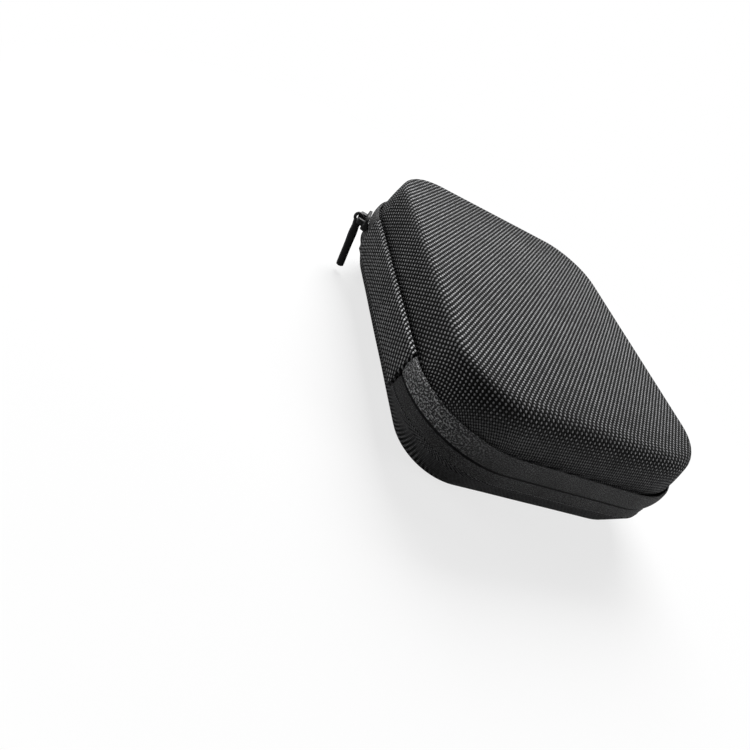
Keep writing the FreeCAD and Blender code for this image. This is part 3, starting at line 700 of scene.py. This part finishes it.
def coil(name, middle, start, end, hand):
    """A row of nylon coils: a drawn-out loop for each tooth, with its head at the seam.

    hand is 1 where the seam lies under the coil, and -1 where it lies over it."""
    pitch, loop_points, wire_points, wire = 1.27, 12, 5, 0.3
    half_height, half_depth, depth, head, head_from = 1.02, 0.62, 3.2, 0.28, 0.6
    loft = Loft()
    rows = []
    for n in range(int((end - start) / pitch) * loop_points + 1):
        turn = 2 * math.pi * n / loop_points
        distance = start + pitch * n / loop_points
        spot, normal = band_place(distance)
        across = half_height * math.cos(turn)
        swell = 1.0 + (head if across * hand < -head_from else 0.0)
        out = -depth + half_depth * math.sin(turn) * swell
        centre = Vector((spot.x + normal.x * out, spot.y + normal.y * out, middle + across))
        side = normal.to_3d() * math.sin(turn) + Vector((0, 0, math.cos(turn)))
        run = Vector((-normal.y, normal.x, 0))
        rows.append(loft.row([centre + (side * a + run * b) * wire for a, b in circle(wire_points)],
                             [(distance, k * 0.4) for k in range(wire_points)]))
    loft.skin(rows)
    return loft.build(name, [COIL])


COIL_OFF_SEAM = 1.53
upper_coil = coil("upper_coil", SEAM + COIL_OFF_SEAM, 1.0, CLOSED_START - 0.8, 1)
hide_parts("upper_zip_coil")
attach(upper_coil, "lid")

lower_coil = coil("lower_coil", SEAM - COIL_OFF_SEAM, 1.6, ZIP_LENGTH - 1.2, -1)
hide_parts("lower_zip_coil")
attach(lower_coil, "base")


# ------------------------ spine

def spine_strip():
    """Cloth strip between the corners, its long edges turned in."""
    bulge, crest, crest_out = 50.0, (BAND_BOTTOM + BAND_TOP) / 2, 0.6
    half_length, roll, tuck = 40.5, 0.85, 0.62
    face = [(crest_out + math.sqrt(bulge ** 2 - (height - crest) ** 2) - bulge, height)
            for height in spaced(BAND_BOTTOM + 0.4, BAND_TOP - 0.25, 20)]
    (bottom_out, bottom), (top_out, top) = face[0], face[-1]
    turned = arc_points((top_out - roll, top - 0.2), roll, 12, 180, 7)
    tucked = arc_points((bottom_out - tuck, bottom), tuck, 180, 348, 7)
    section = with_cloth_length(face + turned + tucked)
    loft = Loft()
    rows = []
    for along in spaced(-half_length, half_length, 60):
        points, uvs = [], []
        for out, height, cloth in section:
            soft = wobble((along, height, 3.0), *SPINE_WOBBLE)
            points.append(Vector((-(WIDTH / 2 + out + soft), along, height)))
            uvs.append((cloth, along + BIAS_STRETCH * cloth))
        rows.append(loft.row(points, uvs))
    loft.skin(rows)
    return loft.build("spine_strip", [CLOTH])


spine = spine_strip()
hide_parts("spine_gusset")
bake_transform(spine)


# ------------------------ bound edges and stitches

BINDING_HALF_WIDE, BINDING_HALF_THICK, BINDING_OUT = 2.2, 0.45, -4.6


def rim_marks(inset):
    """Places round the rim, as (distance, place, normal), back to the first one."""
    marks = []
    for station in STATIONS + STATIONS[:1]:
        spot, normal = on_outline(inset, BAND_RADIUS - inset, *station)
        distance = marks[-1][0] + (spot - marks[-1][1]).length if marks else 0.0
        marks.append((distance, spot, normal))
    return marks


def binding(name, height):
    """A tape folded round the rim's inner edge, seen as a soft flat band."""
    ring = soft_rectangle(BINDING_HALF_WIDE, BINDING_HALF_THICK, 0.55, 0.7)
    section = with_cloth_length([(BINDING_OUT + wide, height + BINDING_HALF_THICK + thick)
                                 for wide, thick in ring])
    loft = Loft()
    rows = [loft.section_row(section, spot, normal, distance)
            for distance, spot, normal in rim_marks(0)[:-1]]
    for low, high in zip(rows, rows[1:] + rows[:1]):
        loft.join(low, high, flip=True)
    return loft.build(name, [BINDING])


def add_stitch(loft, place, normal, up, length):
    """One stitch along the outline, a round-ended thread that dips in at both ends."""
    rings, sides, half_wide, half_thick = 6, 6, 0.2, 0.15
    along = Vector((-normal.y, normal.x, 0)).normalized()
    up = up.normalized()
    side = along.cross(up)
    rows = []
    for n in range(rings):
        t = n / (rings - 1) * 2 - 1
        swell = math.sqrt(max(1 - t * t, 0.04))
        centre = place + along * (t * length / 2) + up * (0.14 * swell - 0.06)
        ring = [centre + side * (a * half_wide * swell) + up * (b * half_thick * swell)
                for a, b in circle(sides)]
        rows.append(loft.row(ring, [(n * 0.3, k * 0.2) for k in range(sides)]))
    loft.skin(rows)


def rim_stitches(name, height, lift):
    """A row of stitches round the rim, seen from the side that lift points to."""
    inset, spacing, length = 4.9, 2.9, 2.1
    loft = Loft()
    perimeter = 2 * math.pi * (BAND_RADIUS - inset) + 2 * (WIDTH + LENGTH - 4 * BAND_RADIUS)
    count = int(perimeter / spacing)
    marks = rim_marks(inset)
    place = 0
    for n in range(count):
        target = marks[-1][0] * (n + 0.5) / count
        while marks[place + 1][0] < target:
            place += 1
        a, b = marks[place], marks[place + 1]
        share = (target - a[0]) / max(b[0] - a[0], 1e-6)
        spot, normal = a[1].lerp(b[1], share), a[2].lerp(b[2], share).normalized()
        add_stitch(loft, Vector((*spot, height)), normal, Vector((0, 0, lift)), length)
    return loft.build(name, [THREAD])


def zip_stitches(name, out, height, start, end):
    """A row of stitches along a tape."""
    spacing, length = 2.3, 1.6
    loft = Loft()
    count = int((end - start) / spacing)
    for n in range(count):
        spot, normal = band_place(start + (end - start) * (n + 0.5) / count)
        place = Vector((*(spot + normal * out), height))
        add_stitch(loft, place, normal, normal.to_3d(), length)
    return loft.build(name, [THREAD])


for name, node, body, height, face in (
        ("lid_binding", "lid_bound_edge", "lid", 27.7, -1),
        ("base_binding", "base_bound_edge", "base", 17.4, 1)):
    edge = binding(name, height)
    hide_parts(node)
    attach(edge, body)
    surface = height + BINDING_HALF_THICK + face * 0.42
    seam_line = rim_stitches(f"{body}_binding_stitches", surface, face)
    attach(seam_line, body)

for name, body, out, height, end in (
        ("upper_tape_stitches", "lid", -0.43, SEAM + 1.9, CLOSED_START - 1.0),
        ("lower_tape_stitches", "base", -0.84, SEAM - 2.7, ZIP_LENGTH - 3.0)):
    seam_line = zip_stitches(name, out, height, 3.0, end)
    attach(seam_line, body)


# ------------------------ net pocket and strap

# The net reaches from the lid's back wall to its hem, whose middle is NET_HEM.
NET_LEVEL, NET_INSET, NET_CORNER, NET_REACH, NET_SAG = 31.9, 6.79, 23.5, 18.0, 0.45
NET_HEM, HEM_WIDTH, HEM_THICK = NET_REACH + 4.0, 8.0, 1.2
NET_HALF_WIDTH, NET_HALF_LENGTH = WIDTH / 2 - NET_INSET, LENGTH / 2 - NET_INSET
STRAP_LEVEL, STRAP_WIDTH, STRAP_THICK = 10.6, 25.0, 1.1


def inside_net(p):
    """True inside the net's outline, which goes on a little under the hem."""
    if p.x > NET_REACH + 2 or abs(p.x) > NET_HALF_WIDTH or abs(p.y) > NET_HALF_LENGTH:
        return False
    past_x = abs(p.x) - (NET_HALF_WIDTH - NET_CORNER)
    past_y = abs(p.y) - (NET_HALF_LENGTH - NET_CORNER)
    return not (past_x > 0 and past_y > 0 and math.hypot(past_x, past_y) > NET_CORNER)


def net_drop(p):
    """The net bows a little towards the base in its middle."""
    across = (p.x + NET_HALF_WIDTH) / (NET_REACH + NET_HALF_WIDTH)
    along = p.y / NET_HALF_LENGTH
    bow = max(0.0, math.sin(math.pi * min(max(across, 0), 1)))
    return -NET_SAG * max(0.0, 1 - along * along) * bow


def net_mesh():
    """Knitted net: flat yarns round six-sided holes."""
    loft = Loft()
    pitch_x, pitch_y, peak_rise, half_yarn, thick = 1.9, 1.7, 0.3, 0.3, 0.16

    def strand(a, b):
        """One flat yarn, narrower underneath."""
        direction = (b - a).normalized()
        side = Vector((-direction.y, direction.x)) * half_yarn
        corners = [(a, -1), (a, 1), (b, 1), (b, -1)]
        rows = []
        for narrowed, depth in ((1.0, 0.0), (0.4, thick)):
            rows.append(loft.row([Vector((p.x + side.x * s * narrowed, p.y + side.y * s * narrowed,
                                          NET_LEVEL + net_drop(p) - depth)) for p, s in corners],
                                 [(p.x, p.y) for p, _ in corners]))
        low, high = rows
        loft.face(low)
        loft.face(high[::-1])
        loft.join(high, low)

    rows, columns, half = int(LENGTH / pitch_y), int(WIDTH / pitch_x), pitch_x / 2
    for j in range(-rows // 2, rows // 2 + 1):
        for i in range(-columns // 2, columns // 2 + 1):
            x, y = i * pitch_x + (half if j % 2 else 0.0), j * pitch_y
            left, right = (Vector((x + aside, y + peak_rise)) for aside in (-half, half))
            peak, down = Vector((x, y - peak_rise)), Vector((x, y - pitch_y + peak_rise))
            for a, b in ((left, peak), (peak, right), (peak, down)):
                if inside_net(a) and inside_net(b):
                    strand(a, b)
    return loft.build("lid_net", [NET])


net = net_mesh()
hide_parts("lid_net_pocket")
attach(net, "lid")


def straight_tape(name, centre_line, width, thick, along_y):
    """A flat elastic tape along a line of (place, height), along the hem or across the case."""
    loft = Loft()
    rows = []
    ring = soft_rectangle(width / 2, thick / 2, 0.35, 0.6)
    for n, (place, height, total) in enumerate(with_cloth_length(centre_line)):
        ahead = Vector(centre_line[min(n + 1, len(centre_line) - 1)])
        run = (ahead - Vector(centre_line[max(n - 1, 0)])).normalized()
        up = Vector((-run.y, run.x))
        points = []
        for wide, lift in ring:
            here, level = place + up.x * lift, height + up.y * lift
            points.append(Vector((NET_HEM + wide, here, level) if along_y else (here, wide, level)))
        rows.append(loft.row(points, [(total, wide) for wide, _ in ring]))
    loft.skin(rows[::-1] if along_y else rows)
    return loft.build(name, [ELASTIC])


hem_half = NET_HALF_LENGTH - 0.1
hem_line = [(place, NET_LEVEL) for place in spaced(-hem_half, hem_half, 40)]
hem = straight_tape("net_hem_tape", hem_line, HEM_WIDTH, HEM_THICK, True)
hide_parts("net_hem")
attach(hem, "lid")

strap_end = [(51.6, 10.7), (53.3, 11.3), (54.3, 12.9), (55.2, 14.6)]
strap_line = [(-place, height) for place, height in strap_end[::-1]]
strap_line += [(place, STRAP_LEVEL) for place in spaced(-49.0, 49.0, 40)] + strap_end
strap = straight_tape("base_elastic_strap", strap_line, STRAP_WIDTH, STRAP_THICK, False)
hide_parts("base_strap")
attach(strap, "base")


# ------------------------ slider and pull

# The slider's own frame: x points outwards, y along the zip and z up, from the seam.
SLIDER_TURN = math.radians(160.0)
SLIDER_PLACE = Matrix.Translation((
    BAND_RADIUS - WIDTH / 2 + BAND_RADIUS * math.cos(SLIDER_TURN),
    LENGTH / 2 - BAND_RADIUS + BAND_RADIUS * math.sin(SLIDER_TURN), SEAM))
SLIDER_PLACE = SLIDER_PLACE @ Matrix.Rotation(SLIDER_TURN, 4, "Z")
PULL_PLACE = (SLIDER_PLACE @ Matrix.Translation((4.3, 0.6, 0))
              @ Matrix.Rotation(math.radians(10.1), 4, "Y")
              @ Matrix.Rotation(math.radians(23.3), 4, "X"))


def rounded(points, radius, steps=4):
    """A polygon whose corners are rounded, as a longer list of points."""
    found = []
    count = len(points)
    for n in range(count):
        before, here, after = (Vector(points[(n + k) % count]) for k in (-1, 0, 1))
        a, b = (here + (near - here).normalized() * min(radius, (near - here).length * 0.45)
                for near in (before, after))
        for step in range(steps + 1):
            t = step / steps
            found.append(a.lerp(here, t).lerp(here.lerp(b, t), t))
    return found


def bridge_rings(made, rings):
    """Adds the faces between rings of a bmesh."""
    for first, second in zip(rings, rings[1:]):
        for n in range(len(first)):
            after = (n + 1) % len(first)
            made.faces.new((first[n], first[after], second[after], second[n]))


def rim_rings(made, outline, rims, frame_of):
    """Rings that follow an outline, one for each (level, inset), joined to each other.

    frame_of puts (a, b, level) into space."""
    area = sum(a.x * b.y - b.x * a.y for a, b in zip(outline, outline[1:] + outline[:1]))
    side = math.copysign(1, area)
    rings = []
    for level, inset in rims:
        ring = []
        for n, point in enumerate(outline):
            run = (outline[(n + 1) % len(outline)] - outline[n - 1]).normalized()
            spot = point - Vector((run.y, -run.x)) * inset * side
            ring.append(made.verts.new(frame_of(spot.x, spot.y, level)))
        rings.append(ring)
    bridge_rings(made, rings)
    return rings


def plate(made, outline, rims, frame_of):
    """A closed plate with shaped rims."""
    rings = rim_rings(made, outline, rims, frame_of)
    made.faces.new(rings[0][::-1])
    made.faces.new(rings[-1])


def mirrored(rims, low, high):
    """Rims given by how far they are from a face, at the low face and then at the high one."""
    return ([(low + step, inset) for step, inset in rims]
            + [(high - step, inset) for step, inset in rims[::-1]])


def rolled(low, high, bevel):
    """Rims of a plate whose edges are quarter rounds."""
    turns = [math.pi / 2 * step / 4 for step in range(5)]
    rims = [(bevel * (1 - math.sin(turn)), bevel * (1 - math.cos(turn))) for turn in turns]
    return mirrored(rims[::-1], low, high)


def bmesh_object(name, made, material, place):
    """An object from a bmesh in millimetres, put in its place."""
    bmesh.ops.recalc_face_normals(made, faces=made.faces)
    bmesh.ops.transform(made, matrix=Matrix.Scale(MM, 4) @ place, verts=made.verts)
    mesh = bpy.data.meshes.new(name)
    made.to_mesh(mesh)
    made.free()
    mesh.polygons.foreach_set("use_smooth", [True] * len(mesh.polygons))
    mesh.set_sharp_from_angle(angle=math.radians(38))
    mesh.materials.append(material)
    return add_object(name, mesh)


def shield(shoulder, tail, corner):
    """Outline of a slider's plate, as wide as it is at its shoulder and its tail."""
    half, nose, shoulder_at = 5.25, 2.1, 2.3
    return rounded([(half, nose), (shoulder_at, shoulder), (-half, tail), (-half, -tail),
                    (shoulder_at, -shoulder), (half, -nose)], corner)


def slider_shape():
    """Two shield-shaped plates, the neck between them, turned-out lips and a bridge."""
    made = bmesh.new()
    back, rim_depth, face, clearance = 0.35, 0.4, 1.5, 0.24

    def close_to_band(a, b, level):
        """The plate's back follows the tapes, far enough off them to clear the stitches.

        Only one end follows the corner, as the other goes on to the straight side."""
        band = tape_out(SEAM + b, UPPER_CREST if b > 0 else LOWER_CREST) + clearance
        curve = a * a / (2 * BAND_RADIUS)
        band -= curve if a > 0 else min(curve, 0.03)
        if level < back + rim_depth:
            return Vector((band + (level - back) * 0.25, a, b))
        share = (level - back - rim_depth) / (face - back - rim_depth)
        return Vector((band + 0.1 + share * (face - 0.1 - band), a, b))

    def facing_out(a, b, level):
        return Vector((level, a, b))

    def facing_up(a, b, level):
        return Vector((a, b, level))

    plate(made, shield(3.9, 3.6, 1.3), rolled(back, face, rim_depth), close_to_band)
    plate(made, shield(3.85, 3.55, 0.9), rolled(-6.1, -4.9, 0.3), facing_out)
    neck = rounded([(4.0, 0.16), (2.1, 0.16), (2.1, -0.16), (4.0, -0.16)], 0.08, 2)
    plate(made, neck, rolled(-5.2, 0.9, 0.02), facing_out)
    for side in (1, -1):
        lip = [(-4.85, side * 3.55), (2.1, side * 3.85), (2.1, side * 3.5), (-4.85, side * 3.25)]
        plate(made, rounded(lip, 0.12, 2), rolled(-5.4, -2.75, 0.08), facing_out)
    arch = [(0.9, -4.7), (3.4, -4.5), (4.8, -3.7), (4.8, 3.7), (3.4, 4.5), (0.9, 4.7),
            (0.9, 3.5), (2.9, 3.35), (3.8, 2.8), (3.8, -2.8), (2.9, -3.35), (0.9, -3.5)]
    posts = [[(0.9, 3.2), (4.3, 3.2), (4.5, 3.9), (3.9, 4.5), (0.9, 4.7)],
             [(0.9, -4.7), (3.9, -4.4), (4.5, -3.6), (4.3, -2.0), (0.9, -2.0)]]
    for outline, half, bevel in ((arch, 0.5, 0.25), (posts[0], 1.4, 0.4), (posts[1], 1.4, 0.4)):
        rims = [(0.0, bevel), (bevel * 0.3, bevel * 0.3), (bevel, 0.0)]
        plate(made, rounded(outline, 0.5, 3), mirrored(rims, -half, half), facing_up)
    stud = rounded([(1.0, 1.0), (-1.0, 1.0), (-1.0, -1.0), (1.0, -1.0)], 0.9)
    plate(made, [p - Vector((1.6, 0)) for p in stud], rolled(1.3, 1.75, 0.2), facing_out)
    return bmesh_object("zip_slider_body", made, SLIDER, SLIDER_PLACE)


slider = slider_shape()
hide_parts("zip_slider")
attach(slider, "slider")


def pull_shape():
    """An eye and a long grip with well-rounded edges, in one piece."""
    made = bmesh.new()
    eye, hole, waist, width, length, half, bevel = 2.35, 0.95, 1.62, 1.7, 22.6, 1.1, 0.8
    arc = [math.radians(a) for a in range(-40, 221, 10)]
    outer = [(eye * math.cos(a), eye * math.sin(a)) for a in arc]
    left = [(-waist, -3.9), (-waist - 0.25, -7.0), (-width, -12.3), (-width, -length + 1.7),
            (-1.6, -length + 0.5), (-0.6, -length)]
    outline = [Vector(p) for p in outer + left + [(-x, y) for x, y in reversed(left)]]
    rims = [(0.0, bevel), (bevel * 0.13, bevel * 0.5), (bevel * 0.5, bevel * 0.13), (bevel, 0.0)]
    rings = rim_rings(made, outline, mirrored(rims, -half, half),
                      lambda a, b, level: (a, level, b))
    bore = []
    for level, wider in ((-half, 0.2), (0.2 - half, 0.03), (0, 0), (half - 0.2, 0.03), (half, 0.2)):
        radius = hole + wider
        bore.append([made.verts.new((radius * a, level, radius * b)) for a, b in circle(24)])
    bridge_rings(made, bore)
    for hoops in ((rings[0], bore[0]), (rings[-1], bore[-1])):
        edges = [made.edges.get((hoop[n - 1], hoop[n])) for hoop in hoops for n in range(len(hoop))]
        bmesh.ops.triangle_fill(made, use_beauty=True, edges=edges)
    return bmesh_object("zip_pull_tab", made, PULL, PULL_PLACE)


pull = pull_shape()
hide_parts("zip_pull")
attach(pull, "pull")


# ------------------------ floor, light, camera

WHITE = (1, 1, 1, 1)
FLOOR_HALF, FLOOR_DROP = 4.0, 0.0003
floor_mesh = bpy.data.meshes.new("floor")
floor_mesh.from_pydata([(x * FLOOR_HALF, y * FLOOR_HALF, 0) for x, y in SIDES], [],
                       [(0, 1, 2, 3)])
floor = add_object("floor", floor_mesh)
floor.location.z = -FLOOR_DROP


def floor_paper():
    """White paper that darkens only near the case, and lights the case little from below."""
    seen_grey, lighting_grey = (0.88,) * 3, (0.3,) * 3
    pale_near, near, far = 0.74, 0.09, 0.24
    g = material_graph("floor_paper")
    camera_ray = g.camera_ray()
    g.finish(g.mix_colour(camera_ray, lighting_grey, seen_grey), 0.8, specular=0.2)
    distance = g.node("ShaderNodeVectorMath", {0: g.object_place()}, operation="LENGTH")
    paleness = g.ramp(distance.outputs["Value"], pale_near, 1.0, near, far)
    g.show_mixed("Material Output", g.times(camera_ray, paleness),
                 g.node("ShaderNodeEmission", {"Color": WHITE}))
    return g.block


def studio_world():
    """A world that is white to the camera, and lights the case dimly."""
    tint, light = (0.93, 0.96, 1.0, 1), 0.04
    g = Graph(bpy.data.worlds.new("studio"), "Background")
    g.fill(g.shader, {"Color": tint, "Strength": light})
    g.show_mixed("World Output", g.camera_ray(),
                 g.node("ShaderNodeBackground", {"Color": WHITE, "Strength": 1.0}))
    return g.block


floor_mesh.materials.append(floor_paper())
bpy.context.scene.world = studio_world()

# Lights, as name, place and target in metres, size and watts.
for name, place, target, size, power in (
        ("back_light", (0.1, 0.55, 0.62), (0, 0, 0.03), (0.6, 0.45), 11.5),
        ("left_light", (-0.68, 0.14, 0.2), (0, 0, 0.02), (0.35, 0.35), 1.5),
        ("front_light", (0.7, -0.45, 0.28), (0, 0, 0.02), (0.5, 0.3), 2.8)):
    lamp = bpy.data.lights.new(name, "AREA")
    lamp.shape = "RECTANGLE"
    lamp.size, lamp.size_y = size
    lamp.energy = power
    thing = add_object(name, lamp)
    thing.location = place
    thing.rotation_mode = "QUATERNION"
    thing.rotation_quaternion = (Vector(target) - Vector(place)).to_track_quat("-Z", "Y")

# The camera was solved on points of the photograph, with the case at rest in its own frame.
SENSOR, FOCAL_PIXELS, IMAGE_PIXELS = 36.0, 611.6, 750
CAMERA_PLACE = Vector((-161.76, -179.54, 131.11))
camera_data = bpy.data.cameras.new("camera")
camera_data.sensor_width = SENSOR
camera_data.lens = FOCAL_PIXELS / IMAGE_PIXELS * SENSOR
camera_data.clip_start = 0.01
camera = add_object("camera", camera_data)
right = Vector((0.844, -0.14033, 0.51766))
down = Vector((0.27784, -0.71117, -0.64579))
ahead = right.cross(down).normalized()
right = down.cross(ahead).normalized()
down = ahead.cross(right)
basis = Matrix((right, -down, -ahead)).transposed().to_4x4()
camera.matrix_world = Matrix.Translation(CAMERA_PLACE * MM) @ basis
bpy.context.scene.camera = camera
bpy.context.scene.view_settings.view_transform = "Standard"
